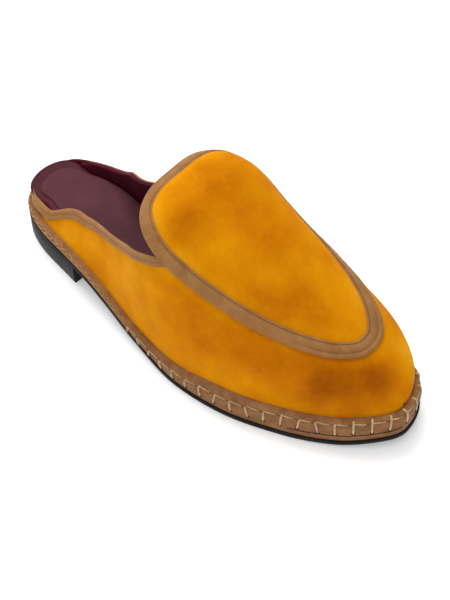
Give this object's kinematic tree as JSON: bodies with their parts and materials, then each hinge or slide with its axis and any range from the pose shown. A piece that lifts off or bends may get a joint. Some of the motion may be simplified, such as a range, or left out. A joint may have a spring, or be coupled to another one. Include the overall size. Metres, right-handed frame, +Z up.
{
  "type": "mule shoe",
  "caption": "Flat slip-on velvet mule for the right foot, with a leather-bound apron and topline, stitched wrapped midsole, thin outsole and low heel block.",
  "frame": {"origin": "middle of the bounding box's bottom face, on the floor under the sole", "axes": "+Z up, -Y towards the toe, +X towards the inner side of the foot"},
  "size_m": [0.0954, 0.2574, 0.1049],
  "materials": {
    "velvet": "short pile, mottled where the nap lies over",
    "binding_leather": "smooth, satin",
    "insole_leather": "smooth, slightly glossy",
    "sock_leather": "matt",
    "wrap_leather": "satin, hand stitched",
    "outsole_rubber": "matt",
    "heel_block": "satin"
  },
  "bodies": {
    "root": {"upper": "velvet", "apron": "velvet", "apron_binding": "binding_leather", "topline_binding": "binding_leather", "insole": "insole_leather", "sock": "sock_leather", "midsole": "wrap_leather", "outsole": "outsole_rubber", "heel": "heel_block"}
  },
  "joints": []
}
